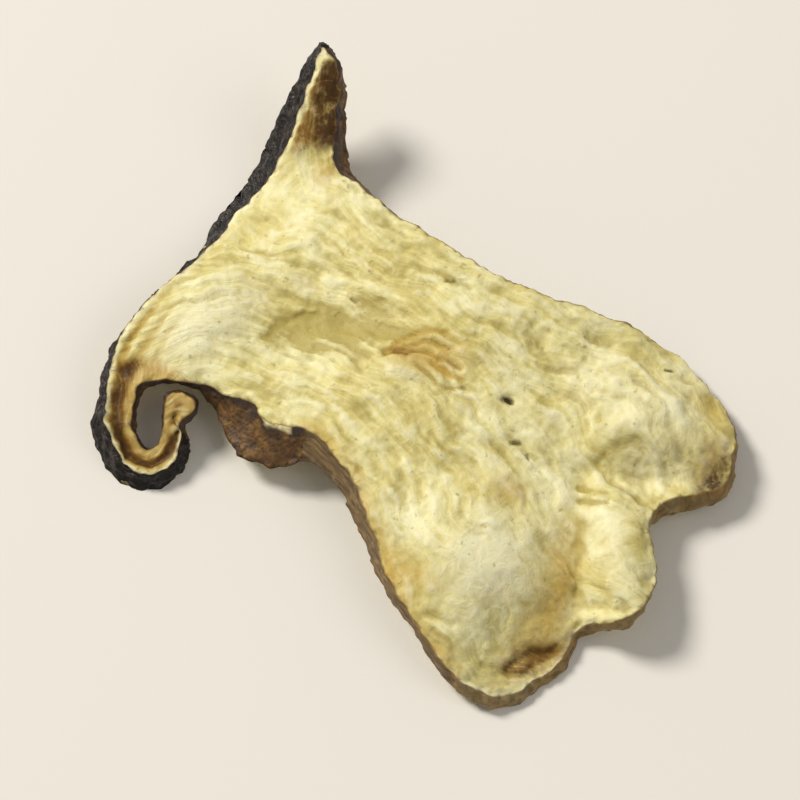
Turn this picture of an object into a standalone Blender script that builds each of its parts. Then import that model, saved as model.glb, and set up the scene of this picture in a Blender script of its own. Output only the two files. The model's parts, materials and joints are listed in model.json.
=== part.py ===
"""One dried porcini slice, cut lengthwise through cap and stem and curled by drying.

Metres, +Z up. The slice lies on a surface with its better cut face up, +Y points to the top of the
cap and the foot of the stem is at -Y. The origin is under the middle of the slice, on the surface.
"""

import math

import bmesh
import bpy
import numpy as np
from mathutils import Matrix, Vector, geometry, noise

MM = 0.001

# Driving sizes, in millimetres. Thickness runs from the upper cut face to the lower one.
MESH_STEP = 1.12
WALL_ROWS = 4
RING_KEPT_FROM = 0.81
LATTICE_FROM = 1.572
CORE_THICKNESS = 2.5
RIM_THICKENING_REACH = 2.4
RIM_WIDTH = 0.9
RIM_ROUNDING = 0.25
WALL_BULGE = 0.3
FLARE_REACH = 1.7
FLARE_CURVE = 2.0
NICK_DEPTH = 0.3
NICK_LENGTH = 2.6
CURVE_PIECES = 12
ON_EDGE_GAP = 0.01
SAME_PLACE_GAP = 1e-6

# Which of the uneven patterns each of them takes. Any other number gives another pattern.
NICK_SEED = 11
WAVE_SEED = 3
UPPER_FIBRE_SEED = 21
LOWER_FIBRE_SEED = 47

# The warp of the dried slice: the height of its middle where nothing lifts it, and its slow waves.
MIDDLE_HEIGHT = 3.0
PRESSED_THICKNESS = 1.2
WAVE_HEIGHT = 0.7
WAVE_LENGTH = 10.5
NORMAL_REACH = 0.9

# Fibre relief on the cut faces, and the folds that follow the skin of the left half of the cap.
FIBRE_HEIGHT = 0.34
FIBRE_WIDTH = 2.4
FIBRE_LENGTH = 10.0
CAP_FAN = (12, 4, 0.5)
FOOT_FAN = (-14, 4, 0.4)
SKIN_FOLD_HEIGHT = 0.24
SKIN_FOLD_SPACING = 3.0
SKIN_FOLDS_FROM = (-3, 14)
SKIN_FOLDS_FADE = (2, 1.5)

# The curled left margin of the cap: a ribbon wound round this centre in an oval, longest at the given
# angle. Its end is a torn flap that almost meets the underside of the cap.
CURL_CENTRE = (-20.8, 15.6)
CURL_OUTER_ANGLES = (106, 296)
CURL_INNER_ANGLES = (106, 330)
CURL_OVAL = 1.36
CURL_OVAL_ANGLE = 42
CURL_OUTER_RADII = (4.4, 3.6)
CURL_INNER_RADII = (1.7, 1.6)
CURL_POINTS = 10
CURL_FLAP = [(-18.9, 13.5), (-17.8, 13.0), (-16.3, 13.5), (-16.5, 15.0), (-17.7, 16.3)]

# The outline of the upper cut face, anticlockwise from the tip of the right margin.
CAP_SKIN_RIGHT = [(18.0, 28.7), (16.9, 28.3), (14.7, 27.2), (12.6, 26.3), (9.6, 25.6), (6.6, 24.8)]
CAP_SKIN_MIDDLE = [(3.8, 24.6), (0.8, 24.6), (-2.6, 23.7), (-6.6, 23.4), (-11.0, 23.6)]
CAP_SKIN_LEFT = [(-15.0, 23.4), (-18.4, 22.4)]
CURL_THROAT = [(-18.7, 18.4), (-16.9, 17.3), (-15.6, 15.5), (-15.0, 13.5)]
CAP_UNDERSIDE = [(-14.4, 12.0), (-13.9, 10.2), (-13.5, 8.6)]
STEM_SHOULDER = [(-13.9, 7.0), (-13.5, 5.4), (-12.5, 3.8), (-12.0, 1.8)]
STEM_LEFT = [(-12.2, -0.6), (-13.3, -4.4), (-15.2, -8.2), (-17.6, -12.2), (-19.2, -16.6), (-20.5, -21.4)]
FOOT = [(-20.6, -24.8), (-19.2, -27.4), (-16.0, -28.6), (-12.6, -29.2), (-9.6, -28.4), (-7.6, -29.6),
        (-6.2, -31.7), (-3.4, -31.5), (-0.4, -29.8), (1.4, -27.4), (4.2, -26.2), (7.0, -27.5),
        (10.2, -29.4), (13.4, -28.5), (16.3, -25.4)]
STEM_RIGHT = [(17.7, -21.2), (18.2, -16.4), (16.9, -11.4), (14.6, -6.6), (12.4, -1.4), (11.4, 4.4),
              (10.5, 10.2), (10.6, 15.6)]
RIGHT_MARGIN_UNDERSIDE = [(11.0, 20.0), (12.5, 22.1), (14.6, 23.9), (16.7, 25.2), (17.8, 26.9)]

# How far the lower cut face stands out past the upper one, at the start and at the end of each run.
EDGE_FLARES = {
    "cap_skin_right": (1.2, 3.4),
    "cap_skin_middle": (3.2, 1.9),
    "cap_skin_left": (1.7, 1.5),
    "curl_outside": (1.4, 0.2),
    "curl_flap": (0.0, 0.0),
    "curl_inside": (0.0, 0.0),
    "curl_throat": (0.0, 0.0),
    "cap_underside": (2.2, 4.6),
    "stem_shoulder": (4.4, 2.4),
    "stem_left": (1.7, 0.4),
    "foot": (0.3, 0.3),
    "stem_right": (0.5, 1.1),
    "right_margin_underside": (1.1, 0.8),
}
EDGE_THICKNESSES = {
    "cap_skin_right": (2.0, 3.6),
    "cap_skin_middle": (3.6, 3.4),
    "cap_skin_left": (3.4, 3.1),
    "curl_outside": (3.0, 2.4),
    "curl_flap": (2.2, 2.0),
    "curl_inside": (2.4, 2.8),
    "curl_throat": (3.0, 3.2),
    "cap_underside": (3.4, 3.4),
    "stem_shoulder": (3.4, 3.3),
    "stem_left": (3.2, 2.8),
    "foot": (2.3, 2.3),
    "stem_right": (3.0, 3.5),
    "right_margin_underside": (3.0, 2.0),
}

# Swells and hollows of the whole slice: centre, half length, half width, turn in degrees, and height.
WARPS = {
    "arch_of_the_waist": ((0.0, 0.0), 17.0, 13.0, 0, 3.0),
    "hollow_in_the_middle": ((0.0, 8.0), 7.0, 5.5, 90, -1.3),
    "right_margin_turned_up": ((20.0, 29.5), 10.0, 7.5, 45, 7.4),
    "swell_beside_the_curl": ((-11.5, 18.0), 6.5, 4.5, 0, 1.9),
    "curl_turned_down": ((-24.5, 14.0), 5.5, 6.5, 0, -2.5),
    "cap_top_turned_down": ((3.0, 26.0), 8.0, 5.0, 5, -2.6),
    "left_toe": ((-11.0, -17.0), 7.0, 6.0, 20, 2.4),
    "left_toe_lip": ((-15.0, -27.6), 8.0, 4.8, -8, -3.1),
    "middle_toe_ridge": ((-1.2, -26.6), 7.0, 2.4, 52, 2.3),
    "crease_left_of_the_ridge": ((-6.4, -26.0), 6.5, 2.2, 38, -1.1),
    "crease_right_of_the_ridge": ((5.8, -22.8), 7.5, 2.3, -50, -1.6),
    "right_toe": ((11.5, -20.5), 6.0, 6.0, 0, 1.8),
    "right_toe_edge": ((19.0, -20.5), 4.8, 8.0, 0, -3.9),
}

# Pale straw colour, in linear red, green and blue.
FLESH_COLOUR = (0.74, 0.66, 0.37, 1)
FLESH_ROUGHNESS = 0.8


def curl_edge(radii, angles):
    """Points along one edge of the curled margin, from its root to the start of its flap."""
    turn = math.radians(CURL_OVAL_ANGLE)
    points = []
    for i in range(CURL_POINTS):
        part = i / (CURL_POINTS - 1)
        angle = math.radians(angles[0] + (angles[1] - angles[0]) * part) - turn
        radius = radii[0] + (radii[1] - radii[0]) * part
        along = radius * CURL_OVAL * math.cos(angle)
        across = radius * math.sin(angle)
        points.append((CURL_CENTRE[0] + along * math.cos(turn) - across * math.sin(turn),
                       CURL_CENTRE[1] + along * math.sin(turn) + across * math.cos(turn)))
    return points


def outline_runs():
    """The outline as named runs of points, in order."""
    return [
        ("cap_skin_right", CAP_SKIN_RIGHT),
        ("cap_skin_middle", CAP_SKIN_MIDDLE),
        ("cap_skin_left", CAP_SKIN_LEFT),
        ("curl_outside", curl_edge(CURL_OUTER_RADII, CURL_OUTER_ANGLES)),
        ("curl_flap", CURL_FLAP),
        ("curl_inside", curl_edge(CURL_INNER_RADII, CURL_INNER_ANGLES)[::-1]),
        ("curl_throat", CURL_THROAT),
        ("cap_underside", CAP_UNDERSIDE),
        ("stem_shoulder", STEM_SHOULDER),
        ("stem_left", STEM_LEFT),
        ("foot", FOOT),
        ("stem_right", STEM_RIGHT),
        ("right_margin_underside", RIGHT_MARGIN_UNDERSIDE),
    ]


def run_values(ranges):
    """One value for each outline point, going evenly from the start to the end of its run."""
    values = []
    for name, points in outline_runs():
        values += list(np.linspace(ranges[name][0], ranges[name][1], len(points)))
    return values


def smooth_outline():
    """The outline as a smooth closed curve, with a point at every mesh step. Returns the points, and
    the flare and the thickness at each of them."""
    knots = [Vector((x, y, 0)) for _, points in outline_runs() for x, y in points]
    knot_flares = run_values(EDGE_FLARES)
    knot_thicknesses = run_values(EDGE_THICKNESSES)
    count = len(knots)
    dense = []
    for i in range(count):
        before, here, after, later = (knots[(i + k) % count] for k in (-1, 0, 1, 2))
        handle_out = here + (after - before) / 6
        handle_in = after - (later - here) / 6
        curve = geometry.interpolate_bezier(here, handle_out, handle_in, after, CURVE_PIECES + 1)
        for k, point in enumerate(curve[:-1]):
            part = k / CURVE_PIECES
            flare = knot_flares[i] * (1 - part) + knot_flares[(i + 1) % count] * part
            thickness = knot_thicknesses[i] * (1 - part) + knot_thicknesses[(i + 1) % count] * part
            dense.append((point.x, point.y, flare, thickness))
    closed = np.array(dense + dense[:1])
    lengths = np.linalg.norm(np.diff(closed[:, :2], axis=0), axis=1)
    along = np.concatenate([[0], np.cumsum(lengths)])
    steps = int(round(along[-1] / MESH_STEP))
    places = np.arange(steps) * along[-1] / steps
    points, flares, thicknesses = np.split(
        np.stack([np.interp(places, along, closed[:, k]) for k in range(4)], axis=1), [2, 3], axis=1)
    nicks = noise_field(places, 0 * places, NICK_LENGTH, NICK_LENGTH, NICK_SEED)
    points = points + NICK_DEPTH * outward_directions(points) * nicks[:, None]
    return points, flares[:, 0], thicknesses[:, 0]


def outward_directions(outline):
    """The unit direction that points out of the slice, at each outline point."""
    ahead = np.roll(outline, -1, axis=0) - np.roll(outline, 1, axis=0)
    outward = np.stack([ahead[:, 1], -ahead[:, 0]], axis=1)
    return outward / np.linalg.norm(outward, axis=1)[:, None]


def noise_field(x, y, length_x, length_y, seed):
    """Smooth uneven swells between about -1 and 1, of the given lengths along x and y."""
    return np.array([noise.noise(Vector((a / length_x, b / length_y, seed + 0.5))) for a, b in zip(x, y)])


def inside(points, outline):
    """True for each point that lies inside the outline, by counting the edges to its right."""
    x, y = points[:, 0][:, None], points[:, 1][:, None]
    x1, y1 = outline[:, 0], outline[:, 1]
    x2, y2 = np.roll(x1, -1), np.roll(y1, -1)
    crosses = (y1 > y) != (y2 > y)
    rise = np.where(y2 == y1, 1e-9, y2 - y1)
    return np.sum(crosses & (x < (x2 - x1) * (y - y1) / rise + x1), axis=1) % 2 == 1


def gap_to_edge(points, outline):
    """The distance of each point to the outline."""
    step = np.roll(outline, -1, axis=0) - outline
    away = points[:, None, :] - outline[None, :, :]
    share = np.clip(np.sum(away * step, axis=2) / np.sum(step * step, axis=1), 0, 1)
    return np.linalg.norm(away - share[..., None] * step, axis=2).min(axis=1)


def near_edge_mean(distances, values):
    """The mean of the outline's values at each point, counting mostly the nearest outline points."""
    weights = np.exp(-(distances - distances.min(axis=1)[:, None]) / MESH_STEP)
    return (weights @ values) / weights.sum(axis=1)


def flare_pull(distances, outward, flares):
    """How far and which way the flared edges near each point draw the lower cut face."""
    weights = np.exp(-((distances / FLARE_REACH) ** 2)) * MESH_STEP / (FLARE_REACH * math.sqrt(math.pi))
    return weights @ (outward * flares[:, None])


def cut_face_sheet(outline):
    """The flat cut face as an even net of triangles: the outline, a ring of points just inside it, and a
    lattice of points in the middle."""
    ring = outline - RIM_WIDTH * outward_directions(outline)
    ring = ring[inside(ring, outline)]
    ring = ring[gap_to_edge(ring, outline) > RING_KEPT_FROM]
    low, high = outline.min(0), outline.max(0)
    row_height = MESH_STEP * math.sqrt(3) / 2
    lattice = []
    for row in range(int((high[1] - low[1]) / row_height) + 1):
        shift = MESH_STEP / 2 if row % 2 else 0
        for column in range(int((high[0] - low[0]) / MESH_STEP) + 1):
            lattice.append((low[0] + shift + column * MESH_STEP, low[1] + row * row_height))
    lattice = np.array(lattice)
    lattice = lattice[inside(lattice, outline)]
    lattice = lattice[gap_to_edge(lattice, outline) > LATTICE_FROM]
    points = [Vector(p) for p in np.vstack([outline, ring, lattice])]
    edges = [(i, (i + 1) % len(outline)) for i in range(len(outline))]
    found = geometry.delaunay_2d_cdt(points, edges, [], 1, SAME_PLACE_GAP)
    return found[0], found[2]


def bell(x, y, centre, half_length, half_width, turn):
    """1 at the centre, falling smoothly to 0 over the half length and the half width."""
    angle = math.radians(turn)
    along = (x - centre[0]) * math.cos(angle) + (y - centre[1]) * math.sin(angle)
    across = (y - centre[1]) * math.cos(angle) - (x - centre[0]) * math.sin(angle)
    return np.exp(-((along / half_length) ** 2) - (across / half_width) ** 2)


def middle_height(x, y):
    """Height of the middle of the slice, half way through its thickness."""
    height = MIDDLE_HEIGHT + WAVE_HEIGHT * noise_field(x, y, WAVE_LENGTH, WAVE_LENGTH, WAVE_SEED)
    for centre, half_length, half_width, turn, rise in WARPS.values():
        height = height + rise * bell(x, y, centre, half_length, half_width, turn)
    return height


def middle_normal(x, y):
    """Unit normal of the warped middle surface, pointing up and evened out over a short reach."""
    reach = NORMAL_REACH
    slope_x = (middle_height(x + reach, y) - middle_height(x - reach, y)) / (2 * reach)
    slope_y = (middle_height(x, y + reach) - middle_height(x, y - reach)) / (2 * reach)
    normal = np.stack([-slope_x, -slope_y, np.ones_like(x)], axis=1)
    return normal / np.linalg.norm(normal, axis=1)[:, None]


def step_up(t):
    """A smooth step from 0 to 1 that is half way at 0."""
    return 1 / (1 + np.exp(-t))


def fibre_relief(x, y, seed):
    """Low uneven ridges that run up the stem and fan out into the cap and the foot."""
    cap_start, cap_fade, cap_spread = CAP_FAN
    foot_start, foot_fade, foot_spread = FOOT_FAN
    fan = 1 + cap_spread * step_up((y - cap_start) / cap_fade)
    fan = fan + foot_spread * step_up((foot_start - y) / foot_fade)
    return FIBRE_HEIGHT * noise_field(x / fan, y, FIBRE_WIDTH, FIBRE_LENGTH, seed)


def skin_folds(x, y, gap):
    """Folds in the flesh that follow the skin of the left half of the cap, just inside it."""
    left_half = step_up((SKIN_FOLDS_FROM[0] - x) / SKIN_FOLDS_FADE[0])
    left_half = left_half * step_up((y - SKIN_FOLDS_FROM[1]) / SKIN_FOLDS_FADE[1])
    fading = np.exp(-gap / SKIN_FOLD_SPACING)
    return SKIN_FOLD_HEIGHT * left_half * fading * np.cos(2 * math.pi * gap / SKIN_FOLD_SPACING)


def place(flat, depth, outline, flares, thicknesses):
    """Where a point of the flat sheet goes in the dried slice. Depth runs from 0 on the upper cut face
    to 1 on the lower one. Nothing goes below the surface that the slice lies on, and where the slice is
    pressed against it, it keeps a least thickness."""
    x, y = flat[:, 0], flat[:, 1]
    gap = gap_to_edge(flat, outline)
    distances = np.linalg.norm(flat[:, None, :] - outline[None, :, :], axis=2)
    rim_thickness = near_edge_mean(distances, thicknesses)
    rim_share = np.exp(-((gap / RIM_THICKENING_REACH) ** 2))
    thickness = CORE_THICKNESS + (rim_thickness - CORE_THICKNESS) * rim_share

    outward = outward_directions(outline)
    on_edge = distances.min(axis=1) < ON_EDGE_GAP
    bulge = WALL_BULGE * np.sin(math.pi * depth) * on_edge
    moved = flat + outward[distances.argmin(axis=1)] * bulge[:, None]
    moved = moved + flare_pull(distances, outward, flares) * (depth ** FLARE_CURVE)[:, None]

    centre = np.stack([moved[:, 0], moved[:, 1], middle_height(x, y)], axis=1)
    rounding = RIM_ROUNDING * np.clip(1 - gap / RIM_WIDTH, 0, 1) ** 2
    upper = thickness / 2 - rounding + fibre_relief(x, y, UPPER_FIBRE_SEED) + skin_folds(x, y, gap)
    lower = thickness / 2 - rounding + fibre_relief(x, y, LOWER_FIBRE_SEED)
    offset = upper * (1 - depth) - lower * depth
    solid = centre + middle_normal(x, y) * offset[:, None]
    solid[:, 2] = np.maximum(solid[:, 2], (1 - depth) * PRESSED_THICKNESS)
    return solid


def slice_mesh():
    """The whole slice as one closed mesh."""
    outline, flares, thicknesses = smooth_outline()
    flat_points, triangles = cut_face_sheet(outline)
    bm = bmesh.new()
    flat_x = bm.verts.layers.float.new("flat_x")
    flat_y = bm.verts.layers.float.new("flat_y")
    depth = bm.verts.layers.float.new("depth")
    verts = [bm.verts.new((p.x, p.y, 0)) for p in flat_points]
    for triangle in triangles:
        bm.faces.new([verts[i] for i in triangle])
    for vert in verts:
        vert[flat_x] = vert.co.x
        vert[flat_y] = vert.co.y
    made = bmesh.ops.extrude_face_region(bm, geom=bm.faces[:])["geom"]
    upper = [v for v in made if isinstance(v, bmesh.types.BMVert)]
    for vert in bm.verts:
        vert[depth] = 1.0
    for vert in upper:
        vert[depth] = 0.0
    wall_edges = [e for e in bm.edges if e.verts[0][depth] != e.verts[1][depth]]
    bmesh.ops.subdivide_edges(bm, edges=wall_edges, cuts=WALL_ROWS - 1, use_grid_fill=False)

    flat = np.array([(v[flat_x], v[flat_y]) for v in bm.verts])
    depths = np.array([v[depth] for v in bm.verts])
    for vert, point in zip(bm.verts, place(flat, depths, outline, flares, thicknesses)):
        vert.co = Vector(point) * MM
    bmesh.ops.triangulate(bm, faces=bm.faces[:])
    bmesh.ops.recalc_face_normals(bm, faces=bm.faces[:])
    mesh = bpy.data.meshes.new("porcini_slice")
    bm.to_mesh(mesh)
    bm.free()
    return mesh


def rest_at_origin(mesh):
    """Moves the slice so that its lowest point is at zero height over the middle of its plan."""
    points = np.array([v.co for v in mesh.vertices])
    low, high = points.min(0), points.max(0)
    middle = (low + high) / 2
    mesh.transform(Matrix.Translation((-middle[0], -middle[1], -low[2])))


def flesh_material():
    """Dried flesh, dull all over."""
    material = bpy.data.materials.new("dried_flesh")
    material.use_nodes = True
    shader = material.node_tree.nodes["Principled BSDF"]
    shader.inputs["Base Color"].default_value = FLESH_COLOUR
    shader.inputs["Roughness"].default_value = FLESH_ROUGHNESS
    return material


def main():
    """Builds the slice in a collection of its own."""
    for old in list(bpy.data.objects):
        bpy.data.objects.remove(old)
    collection = bpy.data.collections.new("Dried porcini slice")
    bpy.context.scene.collection.children.link(collection)
    mesh = slice_mesh()
    rest_at_origin(mesh)
    mesh.materials.append(flesh_material())
    mesh.shade_smooth()
    mushroom = bpy.data.objects.new("porcini_slice", mesh)
    collection.objects.link(mushroom)


main()
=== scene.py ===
# Dried porcini slice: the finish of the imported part, with its floor, its light and its camera.
# Places and sizes are in millimetres in the frame of the part, and go into Blender in metres.
import json
import math

import bpy
import numpy as np
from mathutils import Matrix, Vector, kdtree, noise

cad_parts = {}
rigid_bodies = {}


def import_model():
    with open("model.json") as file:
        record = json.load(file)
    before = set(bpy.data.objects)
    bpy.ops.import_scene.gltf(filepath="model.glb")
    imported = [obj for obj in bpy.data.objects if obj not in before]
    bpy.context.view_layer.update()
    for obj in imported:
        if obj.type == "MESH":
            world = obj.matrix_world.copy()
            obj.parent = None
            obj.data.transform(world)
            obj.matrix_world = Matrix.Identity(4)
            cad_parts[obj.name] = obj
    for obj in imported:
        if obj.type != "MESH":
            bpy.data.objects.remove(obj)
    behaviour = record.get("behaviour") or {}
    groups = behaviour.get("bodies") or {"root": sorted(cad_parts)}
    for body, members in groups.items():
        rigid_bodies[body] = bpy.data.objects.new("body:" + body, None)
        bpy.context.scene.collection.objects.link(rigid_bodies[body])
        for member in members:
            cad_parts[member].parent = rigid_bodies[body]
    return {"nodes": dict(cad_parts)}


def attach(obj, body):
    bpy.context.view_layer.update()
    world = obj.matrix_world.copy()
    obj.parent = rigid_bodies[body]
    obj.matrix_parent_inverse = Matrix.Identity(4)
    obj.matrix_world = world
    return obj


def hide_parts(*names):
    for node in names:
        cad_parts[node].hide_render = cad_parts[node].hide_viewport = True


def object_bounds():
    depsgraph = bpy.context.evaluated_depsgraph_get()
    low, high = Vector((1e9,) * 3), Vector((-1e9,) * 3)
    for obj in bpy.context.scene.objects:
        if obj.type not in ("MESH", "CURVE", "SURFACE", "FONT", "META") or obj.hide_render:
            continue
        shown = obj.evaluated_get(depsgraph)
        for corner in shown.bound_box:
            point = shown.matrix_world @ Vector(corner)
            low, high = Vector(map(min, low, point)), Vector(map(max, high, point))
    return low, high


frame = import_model()
cadBox = [list(corner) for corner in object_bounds()]
mm = 0.001
noise.seed_set(3)  # so that the swirls come out the same each time
print("loaded the packed slice")


# Small helpers

def linear(hexColour):  # an sRGB hex colour as linear red, green, blue and alpha
    parts = [int(hexColour[i:i + 2], 16) / 255 for i in (1, 3, 5)]
    return [p / 12.92 if p <= 0.04045 else ((p + 0.055) / 1.055) ** 2.4 for p in parts] + [1]


def only(thing):  # selects one object and makes it the active one
    bpy.ops.object.select_all(action="DESELECT")
    thing.select_set(True)
    bpy.context.view_layer.objects.active = thing


def applyModifier(thing, kind, settings):  # adds a modifier, sets it and applies it
    only(thing)
    modifier = thing.modifiers.new(kind.title(), kind)
    for name, value in settings.items():
        setattr(modifier, name, value)
    bpy.ops.object.modifier_apply(modifier=modifier.name)


def places(thing):  # the vertices' places, in millimetres
    flat = np.zeros(len(thing.data.vertices) * 3)
    thing.data.vertices.foreach_get("co", flat)
    return flat.reshape(-1, 3) / mm


def directions(thing):  # the vertices' normals
    flat = np.zeros(len(thing.data.vertices) * 3)
    thing.data.vertices.foreach_get("normal", flat)
    return flat.reshape(-1, 3)


def moveTo(thing, points):  # puts the vertices at these places, in millimetres
    thing.data.vertices.foreach_set("co", (points * mm).ravel())
    thing.data.update()


def writeValues(thing, name, values):  # one number for each vertex, for the materials
    layer = thing.data.attributes.new(name, "FLOAT", "POINT")
    layer.data.foreach_set("value", values.astype(np.float32))


def writeGroup(thing, name, weights, levels=20):  # a vertex group, for the modifiers
    group = thing.vertex_groups.new(name=name)
    for level in range(1, levels + 1):
        members = np.where(np.round(weights * levels).astype(int) == level)[0]
        if len(members):
            group.add(members.tolist(), level / levels, "REPLACE")


def ease(values, start=0, span=1):  # a smooth step from 0 to 1 over the span, or down over a negative one
    t = np.clip((values - start) / span, 0, 1)
    return t * t * (3 - 2 * t)


def near(values, place, halfWidth):  # 1 where the values are at the place, fading out on both sides of it
    return np.exp(-(((values - place) / halfWidth) ** 2))


def swirl(points, kind):  # a smooth uneven shift of each point. A kind is its reach, its size and a seed
    reach, size, seed = kind
    start = Vector((seed * 13.7, seed * 7.1, seed * 3.3))  # each seed reads another part of the noise
    return reach * np.array([noise.noise_vector(Vector(p) / size + start) for p in points])


def blob(points, spot):  # 1 at the spot, fading out over its half length and half width
    x, y, halfLength, halfWidth, turn = spot[:5]
    angle = math.radians(turn)
    along = (points[:, 0] - x) * math.cos(angle) + (points[:, 1] - y) * math.sin(angle)
    across = (points[:, 1] - y) * math.cos(angle) - (points[:, 0] - x) * math.sin(angle)
    return np.exp(-((along / halfLength) ** 2) - (across / halfWidth) ** 2)


def stroke(points, line, halfWidth):  # 1 on a line through these places, fading out beside it
    line = np.array(line)
    gaps = []
    for a, b in zip(line[:-1], line[1:]):
        share = np.clip((points[:, :2] - a) @ (b - a) / ((b - a) @ (b - a)), 0, 1)
        gaps.append(np.linalg.norm(points[:, :2] - a - share[:, None] * (b - a), axis=1))
    return near(np.min(gaps, axis=0), 0, halfWidth)


# The slice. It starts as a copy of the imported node, so its place and size come with it

porcini = {
    "node": "porcini_slice",
    "body": "root",
    "slot": "dried_flesh",
    "mergeGap": 0.001,
    "cutSlope": 0.5,             # a cut face is picked out by a face at its middle that rises more than this
    "rimSharpness": 29,          # degrees: a crease above this parts a cut face from the side
    "rimCrease": 0.55,
    "sideways": -0.7,            # above this slope, and this near to the rim, the lower face is its edge
    "edgeReach": 1.5,
    "subdivisions": 2,
    "fullWeight": 0.999,         # above this, a vertex lies on the rim that its group stands for
    "fibreStretch": 4.5,         # wrinkles are this many times longer than they are wide
    "fibreWaves": [(1.2, 5.0, 11), (0.4, 1.8, 12)],  # swirls in the fibres
    "fibreMapSize": 2,           # millimetres to one unit of the fibres' UV map
    "faceSides": [               # y, and the x where the flesh ends on the left and on the right
        (-30, -13.0, 17.0), (-24, -16.7, 20.5), (-16, -15.4, 22.1), (-10, -13.3, 20.8), (-4, -9.8, 18.0),
        (2, -8.1, 15.9), (8, -9.8, 15.0), (14, -11.0, 14.4), (18, -14.0, 14.6), (21, -20.0, 15.2),
        (24, -30.0, 17.5), (27, -40.0, 21.0), (31, -50.0, 24.0)],
    "faceEvening": (-2, -1, 0, 1, 2),  # the sides are averaged over these shifts in height
    "stemHalfWidth": 12,
    "hornBase": (14.2, 22.8),
    "hornTurn": 43,              # degrees from the x axis
    "hornFade": 4.0,             # how far around its base the fibres turn into the horn
    "hornCalm": 0.6,             # how much straighter they run there
    "curl": (-18.0, 17.0, 5.5, 6.5, 0),  # place, half length, half width and turn
    "curlFade": (0.45, 0.2),     # how its blob's edge is sharpened
    "curlEnd": -11,              # the curl lies to the left of this
    "curlCentre": (-16.3, 17.2),
    "curlRoot": (-13.5, 21.8),
    "curlRadius": 4.0,
    "curlSeam": 5,               # degrees from the x axis, in the gap between the curl's tip and its root
    "edges": {                   # what meets the cut face along its rim, and where
        "cap": [(22.2, 29.6), (16.6, 27.7), (10.6, 26.2), (4.8, 26.0), (-2.6, 24.8), (-11.0, 24.8),
                (-14.4, 23.8), (-17.6, 21.6), (-20.8, 18.7), (-21.6, 14.7), (-19.4, 12.6), (-16.2, 12.9)],
        "tubes": [(-14.4, 14.0), (-12.6, 14.6), (-12.5, 16.3), (-13.9, 17.6), (-15.0, 16.2), (-17.6, 15.2),
                  (-18.6, 16.6), (-17.6, 18.8), (-14.8, 19.8), (-13.0, 18.7), (-11.6, 16.8), (-11.0, 14.8),
                  (-10.0, 11.5), (-9.9, 8.3), (-8.6, 5.1)],
        "stem": [(-8.0, 3.2), (-9.3, -3.1), (-13.6, -10.9), (-16.6, -20.1)],
        "foot": [(-16.7, -23.4), (-15.3, -26.1), (-8.7, -27.9), (-5.6, -27.1), (-2.3, -30.4), (0.5, -30.2),
                 (5.4, -26.1), (8.1, -24.9), (14.2, -28.1), (20.2, -24.1)],
        "stemRight": [(22.0, -16.0), (18.5, -5.3), (15.4, 5.7), (14.5, 15.8)],
        "tubesRight": [(15.0, 21.3), (16.5, 23.4), (18.6, 25.2), (21.9, 28.4)]},
    "edgeSteps": 12,             # samples on each stretch of these lines
    "edgeSwirl": (0.5, 1.1, 5),
}
finishNames = ["flesh", "capSkin", "tubes", "stemSkin"]
sideFinishes = {"cap": "capSkin", "tubes": "tubes", "stem": "stemSkin", "foot": "flesh"}
upperFace, sideFace, lowerFace = 0, 1, 2  # what the first slots stand for while the slice is cut up


def copyOfNode(name):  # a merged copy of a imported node, free of its body and its custom normals
    only(frame["nodes"][name])
    bpy.ops.object.duplicate()
    copy = bpy.context.object
    bpy.ops.object.parent_clear(type="CLEAR_KEEP_TRANSFORM")
    for key in list(copy.keys()):
        del copy[key]
    copy.data.materials.clear()
    bpy.ops.mesh.customdata_custom_splitnormals_clear()
    bpy.ops.object.mode_set(mode="EDIT")
    bpy.ops.mesh.select_all(action="SELECT")
    bpy.ops.mesh.remove_doubles(threshold=porcini["mergeGap"] * mm)
    bpy.ops.object.mode_set(mode="OBJECT")
    return copy


def cutFace(thing, upward):  # selects the upper or the lower cut face, from its middle out to its rim
    centres = np.array([face.center for face in thing.data.polygons])
    facing = np.array([face.normal.z for face in thing.data.polygons]) * upward
    gaps = np.hypot(centres[:, 0], centres[:, 1]) + (facing < porcini["cutSlope"])
    only(thing)
    bpy.ops.object.mode_set(mode="EDIT")
    bpy.ops.mesh.select_mode(type="FACE")
    bpy.ops.mesh.select_all(action="DESELECT")
    bpy.ops.object.mode_set(mode="OBJECT")
    thing.data.polygons[int(gaps.argmin())].select = True
    bpy.ops.object.mode_set(mode="EDIT")
    bpy.ops.mesh.faces_select_linked_flat(sharpness=math.radians(porcini["rimSharpness"]))


def markRim(thing, name):  # the selected faces' rim gets a soft crease and a vertex group
    bpy.ops.mesh.region_to_loop()
    bpy.ops.transform.edge_crease(value=porcini["rimCrease"])
    thing.vertex_groups.new(name=name)
    bpy.ops.object.vertex_group_assign()
    bpy.ops.object.mode_set(mode="OBJECT")


def inGroup(thing, name):  # which vertices have the group's full weight
    index = thing.vertex_groups[name].index
    full = porcini["fullWeight"]
    return np.array([any(member.group == index and member.weight > full for member in vertex.groups)
                     for vertex in thing.data.vertices])


def rimSamples(thing, points, name):  # close points along a rim, so that gaps to it come out even
    onRim = inGroup(thing, name)
    ends = np.array([edge.vertices[:] for edge in thing.data.edges])
    ends = ends[onRim[ends].all(axis=1)]
    return np.vstack([points[ends[:, 0]] * (1 - share) + points[ends[:, 1]] * share
                      for share in (0, 0.25, 0.5, 0.75)])


def gapsTo(points, samples):  # how far each point lies from the nearest sample
    tree = kdtree.KDTree(len(samples))
    for i, sample in enumerate(samples):
        tree.insert(sample, i)
    tree.balance()
    return np.array([tree.find(p)[2] for p in points])


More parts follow.
